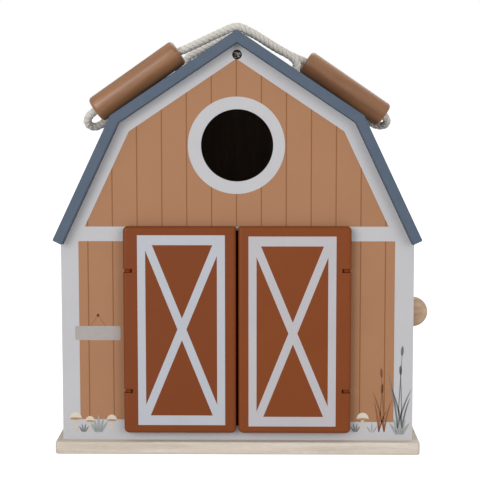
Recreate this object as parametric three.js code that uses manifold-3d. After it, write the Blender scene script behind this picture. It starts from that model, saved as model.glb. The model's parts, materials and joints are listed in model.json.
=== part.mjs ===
// Toy barn that carries like a bag and opens into two half houses on a pair of butt hinges.
// Millimetres, +Z up, the front gable faces -Y. The origin is on the floor, in the middle of the closed
// house.
import * as THREE from "three";
import { mergeVertices } from "three/addons/utils/BufferGeometryUtils.js";
import Module from "manifold-3d";

const wasm = await Module();
wasm.setup();

// The house
const houseWidth = 285; // over the side walls
const halfDepth = 92.5; // of one half, from the seam to the end of its roof
const seamGap = 0.3; // between the closed halves
const fitGap = 0.3; // between sloping or turned pieces that are glued or seated
const boardThickness = 8.5; // gables and side walls
const gableSetback = 9; // of a gable's face from the end of roof and base

// The base boards
const baseThickness = 10.2;
const baseMargin = 5.6; // past each side wall
const baseCornerRadius = 3;
const baseEdgeRadius = 1.2;

// The gambrel roof, given by its top faces
const roofThickness = 8.5;
const roofEdge = 0.7; // sanded off the roof boards' edges
const eaveRise = 164.5; // of the eave's outer corner above the base
const eaveMargin = 5.8; // past each side wall
const lowerRoofRun = 47.3;
const lowerRoofRise = 99.8;
const upperRoofRise = 67.7;

// Inside each half
const loftHeight = 176.8; // underside of the loft floor above the base
const loftThickness = 6;
const ridgeBeamWidth = 18;
const ridgeBeamHeight = 26;

// Openings in the front gable
const windowRadius = 28.9;
const windowHeight = 240.3; // centre above the base
const doorwayWidth = 166;
const doorwaySill = 11.8; // above the base
const doorwayHeight = 160;

// The two doors
const doorWidth = 90.8;
const doorHeight = 168.5;
const doorThickness = 8;
const doorRise = 7.3; // bottom edge above the base
const doorMeetingGap = 1.8;
const doorStandOff = 1; // between the gable and a closed door
const doorCornerRadius = 4;
const doorEdgeRadius = 2.5;
const doorHingeHeights = { lower: 34.8, upper: 132.9 }; // above a door's bottom edge
const doorPinRadius = 1.1;
const doorPinReach = 9; // of a pin past its eye
const eyeRadius = 2.6;
const eyeThickness = 1.8;
const eyeShankRadius = 0.9;
const eyeShankDepth = 6; // in the gable
const kerfClearance = 0.7; // round an eye in its kerf

// The butt hinges between the halves
const hingeOffset = 0.7; // of the hinge line past the eaves
const hingeHeights = { lower: 34.8, upper: 124.8 }; // middle of a hinge above the base
const hingeLength = 40;
const hingeBarrelRadius = 2.5;
const hingePinRadius = 0.95;
const hingePinHead = 0.6;
const leafThickness = 1;
const leafReach = 7; // of a leaf over the wall's edge
const knuckleGap = 0.4;

// The pull knob and the magnets that hold the halves shut
const knobRadius = 12.7;
const knobStandOff = 18.5; // outermost point of the knob from the wall
const knobHeight = 95.8; // centre above the base
const knobSeamDistance = 16;
const knobScrewReach = 11; // into the knob
const screwRadius = 1.7;
const screwHeadRadius = 3.6;
const screwHeadHeight = 2.4;
const socketRadius = 1.7;
const socketDepth = 1.4;
const gableScrewDrop = 19.5; // centre below the ridge
const gableScrewLength = 30;
const magnetRadius = 3;
const magnetThickness = 2;
const magnetHeights = { lower: 42.8, upper: 132.8 }; // above the base

// The rope handles
const ropeRadius = 3.2;
const ropeHoleX = 47;
const ropeHoleY = 42; // from the seam
const ropeHoleClearance = 0.6;
const knotRadius = 6.5;
const knotHeight = 9;
const gripRadius = 11;
const gripLength = 80.2;
const gripBoreClearance = 0.7;
const gripEdgeRadius = 3;
const gripOffset = 14; // sideways from the rope's holes

// The front handle lies on the left slope, the rear one on the right slope
const gripPlaces = {
  front: { side: -1, alongRoof: 30.9, lift: 1, tilt: 1.1, y: -ropeHoleY - gripOffset },
  rear: { side: 1, alongRoof: 18.9, lift: 0.7, tilt: 0.6, y: ropeHoleY - gripOffset },
};

// Rope routes, from one hole over the ridge, through the grip and back to the other hole
const frontRopeRoute = [
  [42.27, -42, 303.63], [44.63, -42, 307.16], [47, -42, 310.7], [48.3, -42, 314], [47.8, -42, 317.3],
  [45.2, -42.1, 320.5], [40.8, -42.3, 323.6], [31, -43, 329.2], [20, -43.9, 336], [10, -45.2, 341.9],
  [-1, -47, 345.8], [-13, -49.6, 341.8], [-26, -52.5, 336.1], [-37, -54.6, 330.9], [-44, -55.7, 327.3],
  [-49.13, -56, 324.64], [-53.2, -56, 321.8], [-82.01, -56, 301.68], [-110.8, -56, 281.56],
  [-114.89, -56, 278.72], [-119, -55.6, 275.6], [-122.3, -54, 272.2], [-123.4, -51.4, 268.4],
  [-121.5, -48.4, 265.3], [-117.6, -45.8, 264.4], [-113.4, -43.8, 265.9], [-109.4, -42.6, 269],
  [-105.8, -42.1, 273.4], [-101.6, -42, 278.4], [-95.5, -42, 282.6], [-84.2, -42, 290.1],
  [-73.5, -42, 297.3], [-67, -42, 301.8], [-62.9, -42, 305.5], [-60, -42, 309.8], [-56.4, -42, 313],
  [-52.2, -42, 313.7], [-48.7, -42, 311.9], [-46, -42, 309.2], [-42.27, -42, 303.63],
];
const rearRopeRoute = [
  [-42.27, 42, 303.63], [-44.63, 42, 307.16], [-47, 42, 310.7], [-48.3, 42, 313.9], [-47.9, 42, 317.4],
  [-45.4, 42, 320.7], [-40.7, 41.8, 324.1], [-30, 41.2, 330.5], [-19.5, 40.5, 336.6], [-9.8, 39.5, 342],
  [1, 37.7, 345.8], [13, 35.2, 341.6], [23.2, 32.8, 335.3], [33.6, 30.6, 329], [44, 28.8, 323.9],
  [53, 28.1, 320.1], [58.75, 28, 317.42], [62.9, 28, 314.6], [91.82, 28, 294.75], [120.8, 28, 274.9],
  [124.89, 28, 272.08], [128.4, 28.9, 269.2], [129.9, 31.4, 265.8], [128.4, 34.6, 263],
  [124.8, 37.6, 261.8], [120.4, 39.9, 262.4], [115.8, 41.3, 264.6], [111.4, 42, 268], [107, 42.1, 272.6],
  [102, 42, 278.1], [95.5, 42, 282.6], [84.2, 42, 290.1], [73.5, 42, 297.3], [67, 42, 301.8],
  [62.9, 42, 305.5], [60, 42, 309.8], [56.4, 42, 313], [52.2, 42, 313.7], [48.7, 42, 311.9],
  [46, 42, 309.2], [42.27, 42, 303.63],
];
const ropeSteps = 78;
const ropeSides = 8;

// Places that follow from the sizes
const wallX = houseWidth / 2;
const eave = new THREE.Vector2(wallX + eaveMargin, baseThickness + eaveRise);
const knee = new THREE.Vector2(eave.x - lowerRoofRun, eave.y + lowerRoofRise);
const ridge = new THREE.Vector2(0, knee.y + upperRoofRise);
const upperAngle = Math.atan2(upperRoofRise, knee.x);
const seamY = seamGap / 2;
const gableFace = halfDepth - gableSetback; // from the seam
const gableBack = gableFace - boardThickness;
const hingeX = -(eave.x + hingeOffset);
const pinX = doorMeetingGap / 2 + doorWidth - doorThickness / 2;
const pinY = -(gableFace + doorStandOff + doorThickness / 2);
const doorBottom = baseThickness + doorRise;
const eyeBore = doorPinRadius + fitGap;

const finishes = {
  tanBoard: { color: 0xa87c5e, roughness: 0.6, metalness: 0 },
  whiteBoard: { color: 0xc4c3c6, roughness: 0.6, metalness: 0 },
  blueBoard: { color: 0x5a6575, roughness: 0.55, metalness: 0 },
  brownBoard: { color: 0x7e4026, roughness: 0.55, metalness: 0 },
  bareWood: { color: 0xc8beaf, roughness: 0.7, metalness: 0 },
  stainedWood: { color: 0xa6826c, roughness: 0.5, metalness: 0 },
  cottonRope: { color: 0xb4afa5, roughness: 0.95, metalness: 0 },
  steel: { color: 0x8a8a88, roughness: 0.35, metalness: 0.9 },
  darkSteel: { color: 0x524b49, roughness: 0.45, metalness: 0.8 },
};

// Solids: joining and cutting

function toSolid(geometry) {
  const bare = geometry.clone();
  bare.deleteAttribute("normal");
  bare.deleteAttribute("uv");
  const merged = mergeVertices(bare, 1e-4);
  const vertProperties = Float32Array.from(merged.attributes.position.array);
  const triVerts = Uint32Array.from(merged.index.array);
  return new wasm.Manifold(new wasm.Mesh({ numProp: 3, vertProperties, triVerts }));
}

function toGeometry(solid) {
  const mesh = solid.getMesh();
  const geometry = new THREE.BufferGeometry();
  geometry.setAttribute("position", new THREE.BufferAttribute(mesh.vertProperties, 3));
  geometry.setIndex(new THREE.BufferAttribute(mesh.triVerts, 1));
  geometry.computeVertexNormals();
  return geometry;
}

function cut(geometry, ...tools) {
  const solid = tools.reduce((left, tool) => left.subtract(toSolid(tool)), toSolid(geometry));
  return toGeometry(solid);
}

function join(geometry, ...others) {
  const solid = others.reduce((sum, other) => sum.add(toSolid(other)), toSolid(geometry));
  return toGeometry(solid);
}

// Shapes: simple forms set in place

function box(x0, x1, y0, y1, z0, z1) {
  const geometry = new THREE.BoxGeometry(x1 - x0, y1 - y0, z1 - z0);
  return geometry.translate((x0 + x1) / 2, (y0 + y1) / 2, (z0 + z1) / 2);
}

function rodAlongX(radius, x0, x1, y, z, sides = 20) {
  const geometry = new THREE.CylinderGeometry(radius, radius, x1 - x0, sides).rotateZ(Math.PI / 2);
  return geometry.translate((x0 + x1) / 2, y, z);
}

function rodAlongY(radius, x, y0, y1, z, sides = 20) {
  const geometry = new THREE.CylinderGeometry(radius, radius, y1 - y0, sides);
  return geometry.translate(x, (y0 + y1) / 2, z);
}

function rodAlongZ(radius, x, y, z0, z1, sides = 20) {
  const geometry = new THREE.CylinderGeometry(radius, radius, z1 - z0, sides).rotateX(Math.PI / 2);
  return geometry.translate(x, y, (z0 + z1) / 2);
}

// An XZ outline, extruded away from the seam between two distances, into the front (-1) or rear (1) half.
function boardAlongY(outline, near, far, half) {
  const options = { depth: far - near, bevelEnabled: false, curveSegments: 40 };
  const geometry = new THREE.ExtrudeGeometry(outline, options);
  return geometry.rotateX(Math.PI / 2).translate(0, half < 0 ? -near : far, 0);
}

function polygon(points) {
  return new THREE.Shape(points.map(([x, z]) => new THREE.Vector2(x, z)));
}

function roundedOutline(x0, x1, y0, y1, radii) {
  const shape = new THREE.Shape();
  const [r00, r10, r11, r01] = radii; // corners, counterclockwise from x0, y0
  shape.moveTo(x0 + r00, y0);
  shape.lineTo(x1 - r10, y0);
  if (r10 > 0) shape.absarc(x1 - r10, y0 + r10, r10, -Math.PI / 2, 0, false);
  shape.lineTo(x1, y1 - r11);
  if (r11 > 0) shape.absarc(x1 - r11, y1 - r11, r11, 0, Math.PI / 2, false);
  shape.lineTo(x0 + r01, y1);
  if (r01 > 0) shape.absarc(x0 + r01, y1 - r01, r01, Math.PI / 2, Math.PI, false);
  shape.lineTo(x0, y0 + r00);
  if (r00 > 0) shape.absarc(x0 + r00, y0 + r00, r00, Math.PI, 1.5 * Math.PI, false);
  return shape;
}

// A slab with all its edges rounded, its outline given at full size. One segment makes a plain chamfer.
function roundedSlab(x0, x1, y0, y1, thickness, edge, corners, segments = 3) {
  const inner = corners.map((radius) => Math.max(radius - edge, 0));
  const outline = roundedOutline(x0 + edge, x1 - edge, y0 + edge, y1 - edge, inner);
  const geometry = new THREE.ExtrudeGeometry(outline, {
    depth: thickness - 2 * edge,
    bevelThickness: edge,
    bevelSize: edge,
    bevelSegments: segments,
    curveSegments: segments + 1,
  });
  return geometry.translate(0, 0, edge);
}

// The roof's profile, as the right-hand side of its XZ section

// The line of a slope, moved square to it into the house.
function slopeLine(top, foot, depth) {
  const along = foot.clone().sub(top).normalize();
  const inward = new THREE.Vector2(along.y, -along.x).multiplyScalar(depth);
  return { from: top.clone().add(inward), to: foot.clone().add(inward), along };
}

function heightAt(line, x) {
  return line.from.y + ((x - line.from.x) * line.along.y) / line.along.x;
}

function reachAt(line, z) {
  return line.from.x + ((z - line.from.y) * line.along.x) / line.along.y;
}

function crossing(first, second) {
  const { from, along } = first;
  const gap = second.from.clone().sub(from);
  const distance = gap.cross(second.along) / along.cross(second.along);
  return from.clone().addScaledVector(along, distance);
}

function roofProfile(depth) {
  const upper = slopeLine(ridge, knee, depth);
  const lower = slopeLine(knee, eave, depth);
  return { upper, lower, ridgeZ: heightAt(upper, 0), knee: crossing(upper, lower), eave: lower.to };
}

const roofTop = roofProfile(0);
const roofUnder = roofProfile(roofThickness);
const underRoof = roofProfile(roofThickness + fitGap); // what stands under the roof
// The walls' outer corners stand under the square end of the lower roof
const wallCorner = underRoof.eave.clone().addScaledVector(roofTop.lower.along, fitGap);
const wallTop = heightAt({ from: wallCorner, along: roofTop.eave.clone().sub(roofUnder.eave) }, wallX);
const kneeMitre = roofTop.knee.clone().sub(roofUnder.knee); // runs through the knee from inside to outside

// A straight board under the line between two points of the section, its edges and ends sanded. The spare
// lengths run past the points, for the mitres.
function slopeBoard(from, to, spareStart, spareEnd, side, half) {
  const [near, far] = side * half < 0 ? [-halfDepth, -seamY] : [seamY, halfDepth];
  const corners = [roofEdge, roofEdge, roofEdge, roofEdge];
  const reach = from.distanceTo(to) + spareEnd;
  const slab = roundedSlab(-spareStart, reach, near, far, roofThickness, roofEdge, corners, 1);
  const slope = Math.atan2(from.y - to.y, to.x - from.x);
  slab.translate(0, 0, -roofThickness).rotateY(slope).translate(from.x, 0, from.y);
  return side < 0 ? slab.rotateZ(Math.PI) : slab;
}

// What a saw takes off at a mitre: all that lies beyond a line of the section.
function mitreWaste(point, alongSaw, beyond, side, half) {
  const saw = alongSaw.clone().setLength(2 * roofThickness);
  const waste = beyond.clone().setLength(2 * roofThickness);
  const near = point.clone().sub(saw);
  const far = point.clone().add(saw);
  const corners = [near, far, far.clone().add(waste), near.clone().add(waste)];
  const outline = polygon(corners.map(({ x, y }) => [side * x, y]));
  return boardAlongY(outline, seamY - 1, halfDepth + 1, half);
}

// A turned piece on a slope: its own +Z becomes the roof's outward normal at a hole.
function onSlope(geometry, side, half) {
  geometry.rotateY(side * upperAngle);
  return geometry.translate(side * ropeHoleX, half * ropeHoleY, heightAt(roofTop.upper, ropeHoleX));
}

function upperRoof(side, half) {
  const board = slopeBoard(ridge, knee, roofThickness, roofThickness, side, half);
  const { along } = roofTop.upper;
  const ridgeEnd = new THREE.Vector2(fitGap / 2, ridge.y);
  const kneeEnd = knee.clone().addScaledVector(along, -fitGap / 2);
  const atRidge = mitreWaste(ridgeEnd, new THREE.Vector2(0, 1), new THREE.Vector2(-1, 0), side, half);
  const atKnee = mitreWaste(kneeEnd, kneeMitre, along, side, half);
  const drill = rodAlongZ(ropeRadius + ropeHoleClearance, 0, 0, -2 * roofThickness, roofThickness, 16);
  return cut(board, atRidge, atKnee, onSlope(drill, side, half));
}

function lowerRoof(side, half) {
  const board = slopeBoard(knee, eave, roofThickness, 0, side, half);
  const { along } = roofTop.lower;
  const kneeEnd = knee.clone().addScaledVector(along, fitGap / 2);
  return cut(board, mitreWaste(kneeEnd, kneeMitre, along.clone().negate(), side, half));
}

// Walls, floors and the ridge beam

function baseBoard(half) {
  const reach = wallX + baseMargin;
  const near = half < 0 ? -halfDepth : seamY;
  const far = half < 0 ? -seamY : halfDepth;
  const front = half < 0 ? baseCornerRadius : baseEdgeRadius;
  const back = half < 0 ? baseEdgeRadius : baseCornerRadius;
  const corners = [front, front, back, back];
  return roundedSlab(-reach, reach, near, far, baseThickness, baseEdgeRadius, corners);
}

function gableOutline() {
  return polygon([
    [-wallX, baseThickness],
    [wallX, baseThickness],
    [wallX, wallTop],
    [wallCorner.x, wallCorner.y],
    [underRoof.knee.x, underRoof.knee.y],
    [0, underRoof.ridgeZ],
    [-underRoof.knee.x, underRoof.knee.y],
    [-wallCorner.x, wallCorner.y],
    [-wallX, wallTop],
  ]);
}

function gableScrewHole(half) {
  const z = ridge.y - gableScrewDrop;
  const face = half * gableFace;
  const bore = rodAlongY(screwRadius + fitGap, 0, -gableScrewLength, 0, 0);
  const seat = rodAlongY(screwHeadRadius + fitGap, 0, -(screwHeadHeight + fitGap), 1, 0);
  const hole = join(bore, seat);
  if (half < 0) hole.rotateX(Math.PI);
  return hole.translate(0, face, z);
}

function frontGable() {
  const outline = gableOutline();
  const window = new THREE.Path();
  window.absarc(0, baseThickness + windowHeight, windowRadius, 0, 2 * Math.PI, true);
  const sill = baseThickness + doorwaySill;
  const doorway = new THREE.Path([
    new THREE.Vector2(-doorwayWidth / 2, sill),
    new THREE.Vector2(-doorwayWidth / 2, sill + doorwayHeight),
    new THREE.Vector2(doorwayWidth / 2, sill + doorwayHeight),
    new THREE.Vector2(doorwayWidth / 2, sill),
  ]);
  outline.holes.push(window, doorway);
  const eyeHoles = eyePlaces().map(({ x, z }) =>
    rodAlongY(eyeShankRadius + fitGap, x, -gableFace - 1, -gableFace + eyeShankDepth + fitGap, z, 12));
  return cut(boardAlongY(outline, gableBack, gableFace, -1), gableScrewHole(-1), ...eyeHoles);
}

function rearGable() {
  return cut(boardAlongY(gableOutline(), gableBack, gableFace, 1), gableScrewHole(1));
}

function sideWall(side, half) {
  const inner = wallX - boardThickness;
  const outline = polygon([
    [side * inner, baseThickness],
    [side * wallX, baseThickness],
    [side * wallX, wallTop],
    [side * wallCorner.x, wallCorner.y],
    [side * inner, heightAt(underRoof.lower, inner)],
  ]);
  const wall = boardAlongY(outline, seamY, gableBack, half);
  return side < 0 ? cut(wall, ...leafPockets(half)) : cut(wall, ...magnetBores(half), ...knobBore(half));
}

function leafPockets(half) {
  const depth = seamY + leafThickness + fitGap;
  return Object.values(hingeHeights).map((height) => {
    const z = baseThickness + height;
    const reach = hingeLength / 2 + fitGap;
    const [y0, y1] = half < 0 ? [-depth, 1] : [-1, depth];
    return box(-wallX - 1, -wallX + leafReach + fitGap, y0, y1, z - reach, z + reach);
  });
}

function magnetBores(half) {
  const depth = seamY + magnetThickness + fitGap;
  const [y0, y1] = half < 0 ? [-depth, 1] : [-1, depth];
  return Object.values(magnetHeights).map((height) =>
    rodAlongY(magnetRadius + fitGap, wallX - boardThickness / 2, y0, y1, baseThickness + height));
}

function knobBore(half) {
  if (half > 0) return [];
  const inner = wallX - boardThickness;
  const z = baseThickness + knobHeight;
  const y = -knobSeamDistance;
  const seatDepth = screwHeadHeight + fitGap;
  const bore = rodAlongX(screwRadius + fitGap, inner - 1, wallX + 1, y, z);
  const seat = rodAlongX(screwHeadRadius + fitGap, inner - 1, inner + seatDepth, y, z);
  return [bore, seat];
}

function loftFloor(half) {
  const z0 = baseThickness + loftHeight;
  const z1 = z0 + loftThickness;
  const wide = reachAt(underRoof.lower, z0);
  const narrow = reachAt(underRoof.lower, z1);
  const outline = polygon([[-wide, z0], [wide, z0], [narrow, z1], [-narrow, z1]]);
  return boardAlongY(outline, seamY, gableBack, half);
}

function ridgeBeam(half) {
  const reach = ridgeBeamWidth / 2;
  const shoulder = heightAt(underRoof.upper, reach);
  const foot = underRoof.ridgeZ - ridgeBeamHeight;
  const outline = polygon([
    [-reach, foot], [reach, foot], [reach, shoulder], [0, underRoof.ridgeZ], [-reach, shoulder],
  ]);
  return cut(boardAlongY(outline, seamY, gableBack, half), gableScrewHole(half));
}

// Screws with a hexagon socket, their head's face at the origin and their shank along -Z

function socketScrew(length) {
  const profile = [
    [0, 0], [screwHeadRadius - 0.4, 0], [screwHeadRadius, -0.4], [screwHeadRadius, -screwHeadHeight],
    [screwRadius, -screwHeadHeight], [screwRadius, -length + 1.5], [0, -length],
  ];
  const turned = new THREE.LatheGeometry(profile.reverse().map(([r, z]) => new THREE.Vector2(r, z)), 24);
  turned.rotateX(Math.PI / 2);
  return cut(turned, rodAlongZ(socketRadius, 0, 0, -socketDepth, 1, 6));
}

// The doors, their eyes and pins. A door hangs on its outer edge; side -1 is the left one.

function eyePlaces() {
  return [-1, 1].flatMap((side) =>
    Object.entries(doorHingeHeights).map(([level, height]) => {
      return { side, level, x: side * pinX, z: doorBottom + height };
    }));
}

function doorPanel(side) {
  const inner = doorMeetingGap / 2;
  const outer = inner + doorWidth;
  const [x0, x1] = side < 0 ? [-outer, -inner] : [inner, outer];
  const corners = [doorCornerRadius, doorCornerRadius, doorCornerRadius, doorCornerRadius];
  const doorTop = doorBottom + doorHeight;
  const slab = roundedSlab(x0, x1, doorBottom, doorTop, doorThickness, doorEdgeRadius, corners);
  slab.rotateX(Math.PI / 2).translate(0, pinY + doorThickness / 2, 0);
  return cut(slab, ...doorKerfs(side), ...doorPinBores(side));
}

function doorKerfs(side) {
  const reach = eyeRadius + kerfClearance;
  const half = eyeThickness / 2 + kerfClearance;
  return Object.values(doorHingeHeights).map((height) => {
    const z = doorBottom + height;
    const kerf = box(pinX - reach, pinX + doorThickness, -doorThickness, doorThickness, -half, half);
    if (side < 0) kerf.rotateZ(Math.PI);
    return kerf.translate(0, pinY, z);
  });
}

function pinSpan(level) {
  const z = doorBottom + doorHingeHeights[level];
  const doorTop = doorBottom + doorHeight;
  if (level === "lower") return [doorBottom + fitGap, z + doorPinReach];
  return [z - doorPinReach, doorTop - fitGap];
}

function doorPinBores(side) {
  return ["lower", "upper"].map((level) => {
    const [z0, z1] = pinSpan(level);
    const [low, high] = level === "lower" ? [z0 - 1, z1 + fitGap] : [z0 - fitGap, z1 + 1];
    return rodAlongZ(eyeBore, side * pinX, pinY, low, high, 14);
  });
}

function doorPin(side, level) {
  const [z0, z1] = pinSpan(level);
  return rodAlongZ(doorPinRadius, side * pinX, pinY, z0, z1, 14);
}

function doorEye({ x, z }) {
  const half = eyeThickness / 2;
  const ring = rodAlongZ(eyeRadius, x, pinY, z - half, z + half, 24);
  const shank = rodAlongY(eyeShankRadius, x, pinY + eyeRadius / 2, -gableFace + eyeShankDepth, z, 12);
  const bore = rodAlongZ(eyeBore, x, pinY, z - eyeThickness, z + eyeThickness, 24);
  return cut(join(ring, shank), bore);
}

// Butt hinges: the rear leaf holds the outer knuckles, the front leaf the middle one

function knuckleSpans(z) {
  const length = (hingeLength - 2 * knuckleGap) / 3;
  const foot = z - hingeLength / 2;
  return [0, 1, 2].map((index) => {
    const start = foot + index * (length + knuckleGap);
    return [start, start + length];
  });
}

function hingeLeaf(z, half) {
  const own = half < 0 ? [1] : [0, 2];
  const spans = knuckleSpans(z);
  const [y0, y1] = half < 0 ? [-seamY - leafThickness, -seamY] : [seamY, seamY + leafThickness];
  const plate = box(hingeX, -wallX + leafReach, y0, y1, z - hingeLength / 2, z + hingeLength / 2);
  const room = hingeBarrelRadius + knuckleGap;
  const relief = spans
    .filter((_, index) => !own.includes(index))
    .map(([z0, z1]) => rodAlongZ(room, hingeX, 0, z0 - knuckleGap, z1 + knuckleGap, 32));
  const knuckles = own.map((index) => rodAlongZ(hingeBarrelRadius, hingeX, 0, ...spans[index], 24));
  const bore = rodAlongZ(hingePinRadius + fitGap, hingeX, 0, z - hingeLength, z + hingeLength, 20);
  return cut(join(cut(plate, ...relief), ...knuckles), bore);
}

function hingePin(z) {
  const foot = z - hingeLength / 2;
  const top = z + hingeLength / 2 + fitGap; // of the barrel, with room for the head
  const shank = rodAlongZ(hingePinRadius, hingeX, 0, foot, top + hingePinHead / 2, 20);
  const head = rodAlongZ(hingeBarrelRadius - 0.5, hingeX, 0, top, top + hingePinHead, 20);
  return join(shank, head);
}

// The ball knob, flat where it meets the wall, turned about X
function wallKnob() {
  const centre = knobStandOff - knobRadius;
  const start = Math.acos(-centre / knobRadius); // from the outermost point to the flat
  const arc = Array.from({ length: 15 }, (_, index) => {
    const angle = (start * index) / 14;
    return new THREE.Vector2(knobRadius * Math.sin(angle), centre + knobRadius * Math.cos(angle));
  });
  const profile = [new THREE.Vector2(0, 0), ...arc.reverse()];
  profile[profile.length - 1].x = 0;
  const ball = new THREE.LatheGeometry(profile, 32).rotateZ(-Math.PI / 2);
  const bore = rodAlongX(screwRadius + fitGap, -1, knobScrewReach + fitGap, 0, 0);
  const knob = cut(ball, bore);
  return knob.translate(wallX, -knobSeamDistance, baseThickness + knobHeight);
}

// Rope handles

function circleOutline(radius, sides) {
  const points = Array.from({ length: sides }, (_, index) => {
    const angle = (2 * Math.PI * index) / sides;
    return new THREE.Vector2(radius * Math.cos(angle), radius * Math.sin(angle));
  });
  return new THREE.Shape(points);
}

function rope(route) {
  const points = route.map((point) => new THREE.Vector3(...point));
  const curve = new THREE.CatmullRomCurve3(points, false, "centripetal");
  return new THREE.ExtrudeGeometry(circleOutline(ropeRadius, ropeSides), {
    steps: ropeSteps,
    extrudePath: curve,
    bevelEnabled: false,
  });
}

// A stopper knot: squat and round, flat where it bears on the roof's underside.
function ropeKnot(side, half) {
  const corner = knotHeight / 3;
  const profile = [
    [0, -knotHeight],
    [knotRadius - corner, -knotHeight],
    [knotRadius - corner / 3, -knotHeight + corner / 2],
    [knotRadius, -knotHeight / 2],
    [knotRadius - corner / 3, -corner / 2],
    [knotRadius - corner, 0],
    [0, 0],
  ];
  const turned = new THREE.LatheGeometry(profile.map(([r, z]) => new THREE.Vector2(r, z)), 20);
  turned.rotateX(Math.PI / 2).translate(0, 0, -(roofThickness + fitGap));
  return onSlope(turned, side, half);
}

// A grip, turned along its own Z
function ropeGrip() {
  const half = gripLength / 2;
  const bore = ropeRadius + gripBoreClearance;
  const rounding = (sign) => Array.from({ length: 5 }, (_, index) => {
    const angle = (Math.PI / 2) * (index / 4);
    const out = gripRadius - gripEdgeRadius + gripEdgeRadius * Math.sin(angle);
    return [out, sign * (half - gripEdgeRadius + gripEdgeRadius * Math.cos(angle))];
  });
  const profile = [[bore, -half], ...rounding(-1), ...rounding(1).reverse(), [bore, half], [bore, -half]];
  const turned = new THREE.LatheGeometry(profile.map(([r, z]) => new THREE.Vector2(r, z)), 32);
  return turned.rotateX(Math.PI / 2);
}

// Assembly

const barn = new THREE.Group();

function place(parent, name, geometry, finish) {
  const mesh = new THREE.Mesh(geometry, new THREE.MeshStandardMaterial(finishes[finish]));
  mesh.name = name;
  parent.add(mesh);
  return mesh;
}

function addHalf(name, half) {
  const group = new THREE.Group();
  barn.add(group);
  place(group, `${name}_base_board`, baseBoard(half), "bareWood");
  place(group, `${name}_gable_wall`, half < 0 ? frontGable() : rearGable(), "tanBoard");
  place(group, `${name}_ridge_beam`, ridgeBeam(half), "bareWood");
  place(group, `${name}_loft_floor`, loftFloor(half), "bareWood");
  for (const [sideName, side] of [["left", -1], ["right", 1]]) {
    place(group, `${name}_${sideName}_side_wall`, sideWall(side, half), "tanBoard");
    place(group, `${name}_${sideName}_upper_roof`, upperRoof(side, half), "blueBoard");
    place(group, `${name}_${sideName}_lower_roof`, lowerRoof(side, half), "blueBoard");
    place(group, `${name}_${sideName}_rope_knot`, ropeKnot(side, half), "cottonRope");
  }
  for (const [level, height] of Object.entries(hingeHeights)) {
    place(group, `${name}_${level}_hinge_leaf`, hingeLeaf(baseThickness + height, half), "steel");
    if (half > 0) place(group, `${level}_hinge_pin`, hingePin(baseThickness + height), "steel");
  }
  for (const [level, height] of Object.entries(magnetHeights)) {
    const [y0, y1] = half < 0 ? [-seamY - magnetThickness, -seamY] : [seamY, seamY + magnetThickness];
    const disc = rodAlongY(magnetRadius, wallX - boardThickness / 2, y0, y1, baseThickness + height);
    place(group, `${name}_${level}_magnet`, disc, "steel");
  }
  const screw = place(group, `${name}_gable_screw`, socketScrew(gableScrewLength - fitGap), "darkSteel");
  screw.rotation.x = (-half * Math.PI) / 2;
  screw.position.set(0, half * gableFace, ridge.y - gableScrewDrop);
  return group;
}

function addHandle(parent, name, route) {
  place(parent, `${name}_handle_rope`, rope(route), "cottonRope");
  const { side, alongRoof, lift, tilt, y } = gripPlaces[name];
  const above = gripRadius + lift;
  const grip = place(parent, `${name}_handle_grip`, ropeGrip(), "stainedWood");
  const x = knee.x - alongRoof * Math.cos(upperAngle) + above * Math.sin(upperAngle);
  const z = knee.y + alongRoof * Math.sin(upperAngle) + above * Math.cos(upperAngle);
  grip.position.set(side * x, y, z);
  grip.rotation.y = side * (Math.PI / 2 + upperAngle + THREE.MathUtils.degToRad(tilt));
}

function addDoor(parent, name, side) {
  const group = new THREE.Group();
  parent.add(group);
  place(group, `${name}_door_panel`, doorPanel(side), "brownBoard");
  for (const level of ["lower", "upper"]) {
    place(group, `${name}_door_${level}_pin`, doorPin(side, level), "darkSteel");
  }
}

const rearHalf = addHalf("rear", 1);
const frontHalf = addHalf("front", -1);
addHandle(rearHalf, "rear", rearRopeRoute);
addHandle(frontHalf, "front", frontRopeRoute);
addDoor(frontHalf, "left", -1);
addDoor(frontHalf, "right", 1);
for (const eye of eyePlaces()) {
  place(frontHalf, `${eye.side < 0 ? "left" : "right"}_door_${eye.level}_eye`, doorEye(eye), "darkSteel");
}
place(frontHalf, "wall_knob", wallKnob(), "bareWood");
const knobScrewLength = boardThickness + knobScrewReach;
const knobScrew = place(frontHalf, "wall_knob_screw", socketScrew(knobScrewLength), "steel");
knobScrew.rotation.y = -Math.PI / 2;
knobScrew.position.set(wallX - boardThickness + fitGap, -knobSeamDistance, baseThickness + knobHeight);

export default barn;
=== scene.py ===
import json
import math
from functools import reduce

import bmesh
import bpy
from mathutils import Matrix, Vector, noise


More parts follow.
